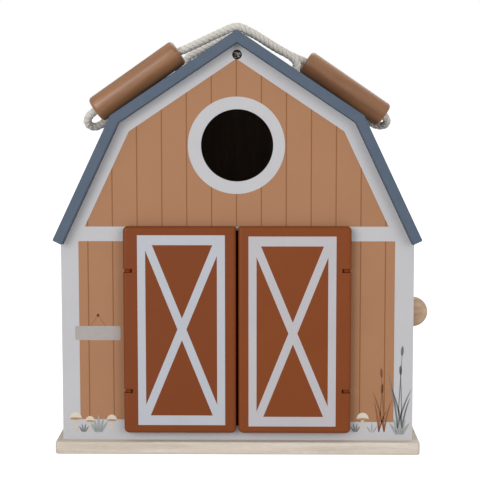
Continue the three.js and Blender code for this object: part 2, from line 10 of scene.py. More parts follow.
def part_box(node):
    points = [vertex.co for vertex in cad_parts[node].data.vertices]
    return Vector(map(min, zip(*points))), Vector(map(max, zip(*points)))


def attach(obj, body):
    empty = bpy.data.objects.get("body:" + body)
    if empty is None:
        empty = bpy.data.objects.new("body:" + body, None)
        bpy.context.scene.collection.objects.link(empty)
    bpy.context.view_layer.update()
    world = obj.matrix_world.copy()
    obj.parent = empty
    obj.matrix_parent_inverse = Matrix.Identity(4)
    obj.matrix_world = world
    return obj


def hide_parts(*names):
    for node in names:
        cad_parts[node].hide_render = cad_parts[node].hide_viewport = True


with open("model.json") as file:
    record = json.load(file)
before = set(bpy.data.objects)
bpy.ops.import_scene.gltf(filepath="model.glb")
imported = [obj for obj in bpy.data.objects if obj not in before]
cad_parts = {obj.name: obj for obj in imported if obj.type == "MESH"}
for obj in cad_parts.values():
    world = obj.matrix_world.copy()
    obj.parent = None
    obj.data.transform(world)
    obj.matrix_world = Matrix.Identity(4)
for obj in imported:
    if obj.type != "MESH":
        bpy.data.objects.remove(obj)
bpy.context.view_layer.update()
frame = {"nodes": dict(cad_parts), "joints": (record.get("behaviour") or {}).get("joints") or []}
nodes = frame["nodes"]
mm = 0.001


def inMetres(x, y, z):
    return Vector((x * mm, y * mm, z * mm))


def addObject(name, data):
    made = bpy.data.objects.new(name, data)
    bpy.context.scene.collection.objects.link(made)
    return made


def facing(direction):
    # the turn that brings Z to this direction
    return direction.to_track_quat("Z", "Y").to_matrix().to_4x4()


def jointOf(body):
    return next(j for j in frame["joints"] if j["child"] == body)


# the photograph's camera, fitted to the edges of base, walls, roof and doors
camera = {
    "place": (21.43, -1273.07, 302.08),  # mm
    "down": 6.1256,  # degrees below level
    "left": 0.9247,  # degrees towards -X
    "roll": -0.0534,
    "lens": 111.4,  # mm
    "sensor": 36,  # mm
    "clip": (0.05, 100),  # m
}


def makeCamera():
    data = bpy.data.cameras.new("camera")
    data.lens = camera["lens"]
    data.sensor_width = camera["sensor"]
    data.clip_start, data.clip_end = camera["clip"]
    cameraObject = addObject("camera", data)
    aim = Matrix.Rotation(math.radians(camera["left"]), 4, "Z")
    aim @= Matrix.Rotation(math.radians(90 - camera["down"]), 4, "X")
    aim @= Matrix.Rotation(math.radians(camera["roll"]), 4, "Z")
    cameraObject.matrix_world = Matrix.Translation(inMetres(*camera["place"])) @ aim
    bpy.context.scene.camera = cameraObject


makeCamera()
print("camera made")


def hexColour(code):
    # sRGB hex to the linear values that shaders use
    parts = [int(code[i:i + 2], 16) / 255 for i in (0, 2, 4)]
    return tuple(p / 12.92 if p <= 0.04045 else ((p + 0.055) / 1.055) ** 2.4 for p in parts) + (1,)


def feed(tree, node, inputs):
    # sets a node's inputs, or links those whose value is another node's output
    for key, value in inputs.items():
        if isinstance(value, bpy.types.NodeSocket):
            tree.links.new(value, node.inputs[key])
        else:
            node.inputs[key].default_value = value


def addNode(tree, kind, inputs=None, **settings):
    # adds one node with its options and inputs; gives back its first output
    node = tree.nodes.new(kind)
    for key, value in settings.items():
        setattr(node, key, value)
    feed(tree, node, inputs or {})
    return node.outputs[0] if node.outputs else None


def compute(tree, operation, *values):
    return addNode(tree, "ShaderNodeMath", dict(enumerate(values)), operation=operation)


def scaled(tree, vector, factor):
    return addNode(tree, "ShaderNodeVectorMath", {0: vector, "Scale": factor}, operation="SCALE")


def cloud(tree, place, size, detail, distortion=0):
    # soft noise with patches of about this size in mm
    return addNode(tree, "ShaderNodeTexNoise", {"Vector": place, "Scale": 1 / (size * mm), "Detail": detail,
                                                "Distortion": distortion})


def remap(tree, value, low, high, start=0, end=1):
    # the value runs from low to high while the input runs from start to end
    return addNode(tree, "ShaderNodeMapRange", {"Value": value, "From Min": start, "From Max": end,
                                                "To Min": low, "To Max": high})


def relief(tree, height, strength, depth):
    return addNode(tree, "ShaderNodeBump", {"Height": height, "Strength": strength, "Distance": depth * mm})


def newMaterial(name):
    material = bpy.data.materials.new(name)
    material.use_nodes = True
    tree = material.node_tree
    shader = tree.nodes["Principled BSDF"]
    return material, tree, shader


def objectPlace(tree):
    return addNode(tree, "ShaderNodeTexCoord").node.outputs["Object"]


def cameraSees(tree):
    return addNode(tree, "ShaderNodeLightPath").node.outputs["Is Camera Ray"]


def thicken(bm, face, shift):
    # grows a face into a solid by a shift; gives back the new corners
    grown = bmesh.ops.extrude_face_region(bm, geom=[face])["geom"]
    corners = [v for v in grown if isinstance(v, bmesh.types.BMVert)]
    bmesh.ops.translate(bm, vec=shift, verts=corners)
    return corners


def finishMesh(name, bm, material, body, smoothAngle=30, flatOver=None):
    # turns a bmesh into a piece that rides on a body; faces over flatOver mm2 keep their own flat shading
    mesh = bpy.data.meshes.new(name)
    bm.to_mesh(mesh)
    bm.free()
    mesh.materials.append(material)
    old = mesh.attributes.get("custom_normal")
    if old:
        mesh.attributes.remove(old)
    mesh.set_sharp_from_angle(angle=math.radians(smoothAngle))
    for face in mesh.polygons:
        face.use_smooth = flatOver is None or face.area < flatOver * mm * mm
    piece = addObject(name, mesh)
    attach(piece, body)
    return piece


# the two rope handles
rope = {
    "diameter": 6.4,  # mm
    "strands": 3,
    "layLength": 13,  # mm for one turn of a strand
    "groove": 0.5,  # mm, depth between two strands
    "fullness": 0.7,  # below 1 a strand is rounder than a cosine
    "fluff": 0.16,  # mm, how uneven the yarns lie
    "fluffSize": 1.7,  # mm
    "sides": 30,
    "step": 0.8,  # mm between sections
    "yarns": 9,  # drawn across a strand
    "yarnWander": 0.2,  # how fast the yarns change along the rope, per mm
}

cottonLook = {
    "dark": "ddd6cb",
    "light": "f5efe4",
    "fuzz": 1.1,  # mm
    "blotch": 14,  # mm
    "blotchShade": 0.94,
    "grooveShade": 0.74,
    "bump": 0.3,  # mm
}

# the routes run from hole to hole, in mm
frontRoute = [
    (42.27, -42, 303.63), (44.63, -42, 307.16), (47, -42, 310.7), (48.3, -42, 314), (47.8, -42, 317.3),
    (45.2, -42.1, 320.5), (40.8, -42.3, 323.6), (31, -43, 329.2), (20, -43.9, 336), (10, -45.2, 341.9),
    (-1, -47, 345.8), (-13, -49.6, 341.4), (-26, -52.5, 335.3), (-37, -54.6, 330.1), (-44, -55.7, 326.9),
    (-49.13, -56, 324.64), (-53.2, -56, 321.8), (-82.01, -56, 301.68), (-110.8, -56, 281.56),
    (-114.89, -56, 278.72), (-119, -55.6, 275.6), (-122.3, -54, 272.2), (-123.4, -51.4, 268.4),
    (-121.5, -48.4, 265.3), (-117.6, -45.8, 264.4), (-113.4, -43.8, 265.9), (-109.4, -42.6, 269),
    (-105.8, -42.1, 273.4), (-101.6, -42, 278.4), (-95.5, -42, 282.6), (-84.2, -42, 290.1),
    (-73.5, -42, 297.3), (-67, -42, 301.8), (-62.9, -42, 305.5), (-60, -42, 309.8), (-56.4, -42, 313),
    (-52.2, -42, 313.7), (-48.7, -42, 311.9), (-46, -42, 309.2), (-42.27, -42, 303.63),
]
rearRoute = [
    (-42.27, 42, 303.63), (-44.63, 42, 307.16), (-47, 42, 310.7), (-48.3, 42, 314.3), (-48, 42, 318.2),
    (-45.7, 42, 321.7), (-40.9, 41.8, 325.2), (-30, 41.2, 331.4), (-19.5, 40.5, 337.1), (-9.8, 39.5, 342.2),
    (1, 37.7, 345.8), (13, 35.2, 341.6), (23.2, 32.8, 335.3), (33.6, 30.6, 329), (44, 28.8, 323.9),
    (53, 28.1, 320.1), (58.75, 28, 317.42), (62.9, 28, 314.6), (91.82, 28, 294.75), (120.8, 28, 274.9),
    (124.89, 28, 272.08), (128, 28.9, 269.3), (128.8, 31.5, 266.1), (127.4, 34.7, 263.5),
    (124.1, 37.6, 262.5), (120.1, 39.9, 263), (115.8, 41.3, 265), (111.4, 42, 268.2), (107, 42.1, 272.6),
    (102, 42, 278.1), (95.5, 42, 282.6), (84.2, 42, 290.1), (73.5, 42, 297.3), (67, 42, 301.8),
    (62.9, 42, 305.5), (60, 42, 309.8), (56.4, 42, 313), (52.2, 42, 313.7), (48.7, 42, 311.9),
    (46, 42, 309.2), (42.27, 42, 303.63),
]


def cottonMaterial():
    # unbleached twisted cotton: matt, fuzzy, off-white, with fine yarns along each strand, and painted shade
    # in the grooves between strands
    material, tree, shader = newMaterial("twisted_cotton")
    uv = addNode(tree, "ShaderNodeUVMap", uv_map="lay")
    place = objectPlace(tree)
    yarns = addNode(tree, "ShaderNodeTexWave", {"Vector": uv, "Scale": 1, "Distortion": 1.2, "Detail": 2,
                                                "Detail Scale": 2.5}, bands_direction="X")
    fuzz = cloud(tree, place, cottonLook["fuzz"], 4)
    blotch = cloud(tree, place, cottonLook["blotch"], 2)
    mix = compute(tree, "MULTIPLY", yarns, fuzz)
    ramp = addNode(tree, "ShaderNodeValToRGB", {"Fac": mix})
    low, high = ramp.node.color_ramp.elements
    low.color, low.position = hexColour(cottonLook["dark"]), 0.05
    high.color, high.position = hexColour(cottonLook["light"]), 0.45
    across = addNode(tree, "ShaderNodeSeparateXYZ", {0: uv})
    across = compute(tree, "MULTIPLY", across, math.pi / rope["yarns"])
    across = compute(tree, "COSINE", across)
    across = compute(tree, "ABSOLUTE", across)
    # darker in the grooves between the strands: painted shade
    groove = remap(tree, across, cottonLook["grooveShade"], 1, 0, 0.45)
    wearAndGlint = remap(tree, blotch, cottonLook["blotchShade"], 1, 0.35, 0.65)
    shade = compute(tree, "MULTIPLY", groove, wearAndGlint)
    height = compute(tree, "ADD", yarns, fuzz)
    feed(tree, shader, {"Base Color": scaled(tree, ramp, shade), "Roughness": 0.95, "Sheen Weight": 0.5,
                        "Sheen Roughness": 0.5, "Normal": relief(tree, height, 0.45, cottonLook["bump"])})
    return material


def smoothPath(points, step):
    # a centripetal curve through the points, in even steps
    pts = [Vector(p) for p in points]
    pts = [2 * pts[0] - pts[1]] + pts + [2 * pts[-1] - pts[-2]]
    parts = 24
    dense = []
    for p0, p1, p2, p3 in zip(pts, pts[1:], pts[2:], pts[3:]):
        t1 = (p1 - p0).length ** 0.5
        t2 = t1 + (p2 - p1).length ** 0.5
        t3 = t2 + (p3 - p2).length ** 0.5
        for k in range(parts):
            t = t1 + (t2 - t1) * k / parts
            a1 = p0.lerp(p1, t / t1)
            a2 = p1.lerp(p2, (t - t1) / (t2 - t1))
            a3 = p2.lerp(p3, (t - t2) / (t3 - t2))
            b1 = a1.lerp(a2, t / t2)
            b2 = a2.lerp(a3, (t - t1) / (t3 - t1))
            dense.append(b1.lerp(b2, (t - t1) / (t2 - t1)))
    dense.append(pts[-2])
    return evenSteps(dense, step)


def evenSteps(dense, step):
    lengths = [0]
    for a, b in zip(dense, dense[1:]):
        lengths.append(lengths[-1] + (b - a).length)
    count = max(2, round(lengths[-1] / step))
    path = []
    index = 0
    for k in range(count + 1):
        want = lengths[-1] * k / count
        while index < len(lengths) - 2 and lengths[index + 1] < want:
            index += 1
        part = (want - lengths[index]) / max(lengths[index + 1] - lengths[index], 1e-9)
        path.append(dense[index].lerp(dense[index + 1], part))
    return path


def growRing(bm, ring):
    # extrudes a ring of edges; gives back the new ring in the same order
    edges = [bm.edges.get((a, b)) for a, b in zip(ring, ring[1:] + ring[:1])]
    extruded = bmesh.ops.extrude_edge_only(bm, edges=edges)["geom"]
    fresh = {v for v in extruded if isinstance(v, bmesh.types.BMVert)}
    return [next(e.other_vert(v) for e in v.link_edges if e.other_vert(v) in fresh) for v in ring]


def layUv(uv, ring, nextRing, before, after):
    # the UV runs round the rope by its yarns and along it by its length
    corners = zip(ring, ring[1:] + ring[:1], nextRing, nextRing[1:] + nextRing[:1])
    for k, (a, b, c, d) in enumerate(corners):
        quad = next(f for f in c.link_faces if a in f.verts and b in f.verts and d in f.verts)
        for loop in quad.loops:
            turn = (k + 1 if loop.vert in (b, d) else k) / rope["sides"]
            along = after if loop.vert in (c, d) else before
            loop[uv].uv = (turn * rope["strands"] * rope["yarns"], along * rope["yarnWander"])


def twistedRope(name, path, material, body):
    # sweeps a lobed section along the path, turning it as the strands are laid
    # across the rope a strand faces a groove, so the width stays the diameter
    radius = (rope["diameter"] + rope["groove"]) / 2
    bm = bmesh.new()
    uv = bm.loops.layers.uv.new("lay")
    bmesh.ops.create_circle(bm, cap_ends=True, radius=radius, segments=rope["sides"])
    ring = [loop.vert for loop in bm.faces[:][0].loops]
    side = Vector((0, 0, 1)).cross(path[1] - path[0]).normalized()
    travelled = 0
    for index, point in enumerate(path):
        ahead = path[min(index + 1, len(path) - 1)] - path[max(index - 1, 0)]
        ahead.normalize()
        side = (side - ahead * side.dot(ahead)).normalized()
        up = ahead.cross(side)
        if index > 0:
            before = travelled
            travelled += (point - path[index - 1]).length
            nextRing = growRing(bm, ring)
            layUv(uv, ring, nextRing, before, travelled)
            ring = nextRing
        twist = 2 * math.pi * travelled / rope["layLength"]
        for k, vert in enumerate(ring):
            angle = 2 * math.pi * k / rope["sides"]
            lobe = abs(math.cos(rope["strands"] * angle / 2)) ** rope["fullness"]
            reach = radius - rope["groove"] * (1 - lobe)
            spin = angle + twist
            out = side * math.cos(spin) + up * math.sin(spin)
            reach += rope["fluff"] * noise.noise((point + out * reach) / rope["fluffSize"])
            vert.co = (point + out * reach) * mm
    bm.faces.new(ring)
    bmesh.ops.recalc_face_normals(bm, faces=bm.faces)
    return finishMesh(name, bm, material, body, smoothAngle=80)


knot = {
    "width": 13,  # mm
    "height": 8.6,
    "top": 9.0,  # depth below the roof's top face
    "hole": (47, 42, 310.7),  # where the hole's middle meets the top face
    "roofRun": (101, 67.7),  # how far the upper roof goes out and down
    "points": 240,
    "step": 0.9,
}


def stopperKnot(name, side, half, material, body):
    # an overhand knot drawn tight under the roof board: a trefoil, flattened against it
    run, fall = knot["roofRun"]
    angle = math.atan2(fall, run)
    x, y, z = knot["hole"]
    out = Vector((side * math.sin(angle), 0, math.cos(angle)))
    across = Vector((0, 1, 0))
    along = out.cross(across)
    reach = (knot["width"] - rope["diameter"]) / 2
    lift = (knot["height"] - rope["diameter"]) / 2
    centre = Vector((side * x, half * y, z)) - out * (knot["top"] + knot["height"] / 2)
    dense = []
    for k in range(knot["points"] + 1):
        t = 2 * math.pi * k / knot["points"]
        a = (math.sin(t) + 2 * math.sin(2 * t)) / 3
        b = (math.cos(t) - 2 * math.cos(2 * t)) / 3
        dense.append(centre + along * (a * reach) + across * (b * reach) - out * (math.sin(3 * t) * lift))
    return twistedRope(name, evenSteps(dense, knot["step"]), material, body)


cotton = cottonMaterial()
for name, route, half in (("front", frontRoute, -1), ("rear", rearRoute, 1)):
    body = f"{name}_half"
    path = smoothPath(route, rope["step"])
    piece = twistedRope(f"{name}_rope", path, cotton, body)
    for sideName, side in (("left", -1), ("right", 1)):
        knotPiece = stopperKnot(f"{name}_{sideName}_knot", side, half, cotton, body)
        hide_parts(f"{name}_{sideName}_rope_knot")
    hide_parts(f"{name}_handle_rope")


grain = {"ring": 5.5, "fibre": 0.45, "stretch": 14}  # mm apart, mm apart, length of a fibre over its width


def woodColours(tree, place, along, dark, light, contrast=1):
    # long growth bands and short fibres that run along one axis, X, Y or Z
    squash = [1, 1, 1]
    squash["XYZ".index(along)] = 1 / grain["stretch"]
    stretched = addNode(tree, "ShaderNodeMapping", {"Vector": place, "Scale": squash})
    bands = cloud(tree, stretched, grain["ring"], 3, 0.6)
    fibres = cloud(tree, stretched, grain["fibre"], 2)
    blend = addNode(tree, "ShaderNodeMix", {"Factor": 0.35, 2: bands, 3: fibres}, data_type="FLOAT")
    ramp = addNode(tree, "ShaderNodeValToRGB", {"Fac": blend})
    spread = 0.18 / contrast
    low, high = ramp.node.color_ramp.elements
    low.position, low.color = 0.5 - spread, hexColour(dark)
    high.position, high.color = 0.5 + spread, hexColour(light)
    return ramp, fibres


def woodMaterial(name, along, dark, light, roughness, coat=0):
    # bare wood under clear lacquer: pale, softly banded, the fibres just felt through the film
    material, tree, shader = newMaterial(name)
    colour, fibres = woodColours(tree, objectPlace(tree), along, dark, light)
    feed(tree, shader, {"Base Color": colour, "Normal": relief(tree, fibres, 0.25, 0.08),
                        "Roughness": roughness, "Coat Weight": coat, "Coat Roughness": 0.35})
    return material


def metalMaterial(name, colour, roughness, metallic, shine=0.5):
    # small steel fittings, plated or lacquered: one colour, a gloss that varies a little with handling
    material, tree, shader = newMaterial(name)
    gloss = remap(tree, cloud(tree, objectPlace(tree), 1.6, 3), roughness - 0.08, roughness + 0.1)
    feed(tree, shader, {"Base Color": hexColour(colour), "Roughness": gloss, "Metallic": metallic,
                        "Specular IOR Level": shine})
    return material


oxide = {
    "centre": (0, 322.7),  # mm, x and z of the gable screws
    "wearAndGlint": 2.5,  # mm, how far from there the painted glints reach
    "fade": 0.5,
    "patch": 1.7,
    "dark": "2a2221",
    "glint": "a39b98",
}


def screwMaterial():
    # black oxide on steel, with bright patches round the socket: painted glints of highlight
    material, tree, shader = newMaterial("black_oxide_steel")
    place = objectPlace(tree)
    x, z = oxide["centre"]
    flat = addNode(tree, "ShaderNodeVectorMath", {0: scaled(tree, place, 1000), 1: (1, 0, 1)},
                   operation="MULTIPLY")
    away = addNode(tree, "ShaderNodeVectorMath", {0: flat, 1: (x, 0, z)}, operation="DISTANCE")
    away = away.node.outputs["Value"]
    near = remap(tree, away, 1, 0, oxide["wearAndGlint"], oxide["wearAndGlint"] + oxide["fade"])
    # the bright patches near the socket are painted glints
    wearAndGlint = both(tree, near, remap(tree, cloud(tree, place, oxide["patch"], 2), 0, 1, 0.45, 0.58))
    colour = mixColour(tree, wearAndGlint, hexColour(oxide["dark"]), hexColour(oxide["glint"]))
    feed(tree, shader, {"Base Color": colour, "Roughness": remap(tree, wearAndGlint, 0.5, 0.3), "Metallic": 0.85})
    return material


# painted and printed boards
board = {
    "plankWidth": 20,  # mm
    "lineWidth": 0.9,
    "printShift": -0.6,  # the front print sits a little to the left
    "trimWidth": 10.4,  # square to the roof
    "postStart": 127.7,  # from the middle of the print
    "sidePostStart": 69,  # from the seam, on the side walls
    "bandLow": 173.4,
    "bandHigh": 185.2,
    "skirtLow": -10,
    "skirtHigh": 26.1,
    "skirtLean": 0.0078,  # its upper edge drops to the right
    "ringRadius": 38.9,
    "ringHeight": 250.5,
    "gableFace": 83.5,  # from the seam
    "gableEnd": 142.2,  # from the middle; the cut end beyond is printed too
    "sideFace": 141.9,
    "skin": 0.3,  # how far below its face a board still counts as printed
    "tan": "a57857",
    "line": "885836",
    "white": "bdbcbf",
    "sawn": "2b1d13",  # the board's edges, the window and doorway reveals among them: near-black, painted shade
    "bareShadedInside": ("6b5340", "80674f"),  # bare fibre board inside, coloured darker than such board: painted shade
    "gloss": 0.5,
}

roofLine = {
    "upperNormal": (0.5567, 0.8307),
    "upperTop": 284.27,  # mm from the origin to the roof's top face, square to it
    "lowerNormal": (0.9037, 0.4283),
    "lowerTop": 208.84,
    "thickness": 8.5,
}


paint = {
    "mottle": 30,  # mm
    "shades": (0.95, 1.04),
    "peel": 0.9,  # mm
    "peelDepth": 0.06,  # mm
    "shine": 0.25,
    "soaked": 9,  # mm, patches on the roof
    "blues": ("4c5c6c", "5a6474"),
    "roofGloss": 0.48,
    "doorGloss": 0.42,
}


def paintSurface(tree, shader, place, colour, roughness):
    # sprayed or printed lacquer over fibre board: faint mottle, fine orange peel
    mottle = cloud(tree, place, paint["mottle"], 3)
    peel = cloud(tree, place, paint["peel"], 2)
    feed(tree, shader, {"Base Color": scaled(tree, colour, remap(tree, mottle, *paint["shades"])),
                        "Normal": relief(tree, peel, 0.12, paint["peelDepth"]),
                        "Roughness": remap(tree, mottle, roughness - 0.05, roughness + 0.06),
                        "Specular IOR Level": paint["shine"]})


def measures(tree):
    # a point's place on the toy, and its x, y and z in mm
    place = objectPlace(tree)
    parts = addNode(tree, "ShaderNodeSeparateXYZ", {0: scaled(tree, place, 1000)}).node.outputs
    return place, parts[0], parts[1], parts[2]


def above(tree, value, limit):
    return compute(tree, "GREATER_THAN", value, limit)


def either(tree, *masks):
    return reduce(lambda a, b: compute(tree, "MAXIMUM", a, b), masks)


def both(tree, *masks):
    return reduce(lambda a, b: compute(tree, "MULTIPLY", a, b), masks)


def between(tree, value, low, high):
    return compute(tree, "COMPARE", value, (low + high) / 2, (high - low) / 2)


def slant(tree, first, second, normal):
    # distance along a direction in the board's plane
    a = compute(tree, "MULTIPLY", first, normal[0])
    return compute(tree, "MULTIPLY_ADD", second, normal[1], a)


def mixColour(tree, mask, first, second):
    mixed = addNode(tree, "ShaderNodeMix", {"Factor": mask, 6: first, 7: second}, data_type="RGBA")
    return mixed.node.outputs[2]


def plankColour(tree, along):
    # tan planks with thin printed lines between them
    wrapped = compute(tree, "PINGPONG", along, board["plankWidth"] / 2)
    line = compute(tree, "LESS_THAN", wrapped, board["lineWidth"] / 2)
    return mixColour(tree, line, hexColour(board["tan"]), hexColour(board["line"]))


def gableMaterial(name, outward, hasRing):
    # fibre board with a print on its outer face: tan planks, white trim; bare inside, darkened as painted
    # shade; its edges near-black, painted shade
    material, tree, shader = newMaterial(name)
    place, x, y, z = measures(tree)
    fromCentre = compute(tree, "ABSOLUTE", x)
    x = compute(tree, "SUBTRACT", x, board["printShift"])
    fromMiddle = compute(tree, "ABSOLUTE", x)
    skirtEdge = compute(tree, "MULTIPLY_ADD", x, board["skirtLean"], z)
    inset = roofLine["thickness"] + board["trimWidth"]
    upper = slant(tree, fromMiddle, z, roofLine["upperNormal"])
    lower = slant(tree, fromMiddle, z, roofLine["lowerNormal"])
    white = either(
        tree,
        above(tree, upper, roofLine["upperTop"] - inset),
        above(tree, lower, roofLine["lowerTop"] - inset),
        above(tree, fromMiddle, board["postStart"]),
        between(tree, z, board["bandLow"], board["bandHigh"]),
        between(tree, skirtEdge, board["skirtLow"], board["skirtHigh"]),
    )
    if hasRing:
        fromRing = compute(tree, "SUBTRACT", z, board["ringHeight"])
        square = compute(tree, "MULTIPLY", x, x)
        square = compute(tree, "MULTIPLY_ADD", fromRing, fromRing, square)
        ring = compute(tree, "LESS_THAN", square, board["ringRadius"] ** 2)
        white = either(tree, white, ring)
    printed = mixColour(tree, white, plankColour(tree, fromMiddle), hexColour(board["white"]))
    depth = compute(tree, "MULTIPLY", y, outward)
    outer = either(tree, above(tree, depth, board["gableFace"] - board["skin"]),
                   above(tree, fromCentre, board["gableEnd"]))
    # edges and reveals take the near-black colour, the inner face the darkened bare board: painted shade
    edgeShadeMask = above(tree, depth, board["gableFace"] - roofLine["thickness"] + board["skin"])
    shadedBare = woodColours(tree, place, "Z", *board["bareShadedInside"])[0]
    unprinted = mixColour(tree, edgeShadeMask, shadedBare, hexColour(board["sawn"]))
    paintSurface(tree, shader, place, mixColour(tree, outer, unprinted, printed), board["gloss"])
    return material


def sideWallMaterial():
    # the print runs on round the corners: white posts and skirt, tan planks between
    material, tree, shader = newMaterial("printed_side_board")
    place, x, y, z = measures(tree)
    fromSeam = compute(tree, "ABSOLUTE", y)
    white = either(tree, above(tree, fromSeam, board["sidePostStart"]),
                   between(tree, z, 0, board["skirtHigh"]))
    printed = mixColour(tree, white, plankColour(tree, fromSeam), hexColour(board["white"]))
    outer = above(tree, compute(tree, "ABSOLUTE", x), board["sideFace"])
    # the inner face takes the darkened bare board: painted shade
    shadedBare = woodColours(tree, place, "Z", *board["bareShadedInside"])[0]
    paintSurface(tree, shader, place, mixColour(tree, outer, shadedBare, printed), board["gloss"])
    return material


def roofMaterial():
    # satin blue lacquer on fibre board, a little uneven where it has soaked in
    material, tree, shader = newMaterial("blue_lacquered_board")
    place = objectPlace(tree)
    first, second = paint["blues"]
    colour = mixColour(tree, cloud(tree, place, paint["soaked"], 4), hexColour(first), hexColour(second))
    paintSurface(tree, shader, place, colour, paint["roofGloss"])
    return material


doorPrint = {
    "half": (35.2, 77.35),  # half width and half height of the white frame, mm
    "upright": 6.45,
    "rail": 7.95,
    "cross": 6.65,  # width of a diagonal
    "slip": 1.9,  # one diagonal misses its corner by this much
    "face": -92,  # the print lies in front of this
    # both doors carry one paint; the left brown is set a little darker than the right: painted shade that
    # evens out the stronger light on the left door
    "left": {"centre": (-44.95, 101.75), "slipEnd": 1, "white": "b6b9c0", "brown": "7a3c17"},
    "right": {"centre": (44.35, 100.8), "slipEnd": -1, "white": "b8b5b9", "brown": "7e3f18"},
}


def inBox(tree, u, v, halfWidth, halfHeight):
    return both(tree, between(tree, u, -halfWidth, halfWidth), between(tree, v, -halfHeight, halfHeight))


def doorMaterial(name, own):
    # brown satin board, a white frame and cross printed on its front
    material, tree, shader = newMaterial(name)
    place, x, y, z = measures(tree)
    u = compute(tree, "SUBTRACT", x, own["centre"][0])
    v = compute(tree, "SUBTRACT", z, own["centre"][1])
    halfWidth, halfHeight = doorPrint["half"]
    clearWidth = halfWidth - doorPrint["upright"]
    clearHeight = halfHeight - doorPrint["rail"]
    frameBox = inBox(tree, u, v, halfWidth, halfHeight)
    clearBox = inBox(tree, u, v, clearWidth, clearHeight)
    bars = []
    for end in (1, -1):  # the bar that starts at the top left, then the one from the bottom left
        slip = doorPrint["slip"] if end == own["slipEnd"] else 0
        start = Vector((slip - clearWidth, end * clearHeight))
        run = Vector((clearWidth, -end * clearHeight)) - start
        normal = Vector((-run.y, run.x)).normalized()
        middle = start.dot(normal)
        bars.append(between(tree, slant(tree, u, v, normal), middle - doorPrint["cross"] / 2,
                            middle + doorPrint["cross"] / 2))
    hollow = both(tree, clearBox, compute(tree, "SUBTRACT", 1, either(tree, *bars)))
    front = compute(tree, "LESS_THAN", y, doorPrint["face"])
    white = both(tree, frameBox, compute(tree, "SUBTRACT", 1, hollow), front)
    colour = mixColour(tree, white, hexColour(own["brown"]), hexColour(own["white"]))
    paintSurface(tree, shader, place, colour, paint["doorGloss"])
    return material


pine = ("bdb09f", "dcd3c7", 0.55)  # dark, light, roughness
finishes = {
    "front_gable": gableMaterial("printed_front_gable", -1, True),
    "rear_gable": gableMaterial("printed_rear_gable", 1, False),
    "side": sideWallMaterial(),
    "roof": roofMaterial(),
    "left_door": doorMaterial("printed_left_door", doorPrint["left"]),
    "right_door": doorMaterial("printed_right_door", doorPrint["right"]),
    "pine": woodMaterial("clear_lacquered_pine", "X", *pine),
    "pineDepth": woodMaterial("clear_lacquered_pine_beam", "Y", *pine),
    "zinc": metalMaterial("zinc_plated_steel", "9a9a98", 0.35, 1),
    "bronze": metalMaterial("brown_lacquered_steel", "743210", 0.6, 0, shine=0.15),
    "oxide": screwMaterial(),
}
print("finishes made")


boardEdge = {
    "width": 0.45,  # mm that an edge is eased by
    "roofWidth": 0.3,
    "segments": 2,
    "sharp": 25,  # degrees
    "flatOver": 200,  # mm2
    "merge": 0.002,  # mm
    "level": 0.6,  # degrees between faces that are joined
    "mitreReach": 0.25,  # mm
    "gable": (100, 285),  # mm: a gable's edges are eased nearer the middle and lower than this
}
seam = {"plain": 0.2, "closed": 0.02}  # mm from the middle: edges within the first are moved to the second
doorCorner = {
    "place": (0.9, 186),  # mm, the upper inner corner's distance from the middle and its height
    "plain": 4,  # its radius in the CAD
    "tight": 1.8,  # and on the toy
    "merge": 0.01,
}

# where the roof boards meet: x and z of a point on the cut, and of the direction square to it
mitres = {
    "ridge": ((0, 342.2), (1, 0)),
    "knee": ((101, 274.5), (0.6529, -0.7574)),
}


def closeMitre(bm, side, mitre, slope):
    # slides the sawn end of a roof board along its slope up to the mitre; gives back the end's corners
    (px, pz), (nx, nz) = mitres[mitre]
    slide = Vector((side * slope[0], 0, slope[1]))
    normal = Vector((side * nx, 0, nz))
    point = Vector((side * px, 0, pz)) * mm
    moved = []
    for vert in bm.verts:
        gap = (vert.co - point).dot(normal)
        if abs(gap) < boardEdge["mitreReach"] * mm:
            vert.co -= slide * (gap / slide.dot(normal))
            moved.append(vert)
    return moved


def closeSeam(bm):
    # the closed halves all but touch, so that hardly any light shows between them
    for vert in bm.verts:
        if abs(vert.co.y) < seam["plain"] * mm:
            vert.co.y = math.copysign(seam["closed"] * mm, vert.co.y)


def tightenCorner(bm, side):
    # gives a door's upper inner corner its smaller radius and keeps the rounding of its faces
    cornerX, cornerZ = doorCorner["place"]
    old, new = doorCorner["plain"], doorCorner["tight"]
    for vert in bm.verts:
        a = (vert.co.x / mm - side * cornerX) * side
        b = cornerZ - vert.co.z / mm
        if a >= old or b >= old:
            continue
        spoke = Vector((old - a, old - b))
        inset = min(old - spoke.length, old)
        reach = max(new - inset, 0)
        centre = max(new, inset)
        spoke.normalize()
        vert.co.x = side * (cornerX + centre - reach * spoke.x) * mm
        vert.co.z = (cornerZ - centre + reach * spoke.y) * mm
    bmesh.ops.remove_doubles(bm, verts=bm.verts, dist=doorCorner["merge"] * mm)
    bmesh.ops.dissolve_degenerate(bm, edges=bm.edges, dist=doorCorner["merge"] * mm)


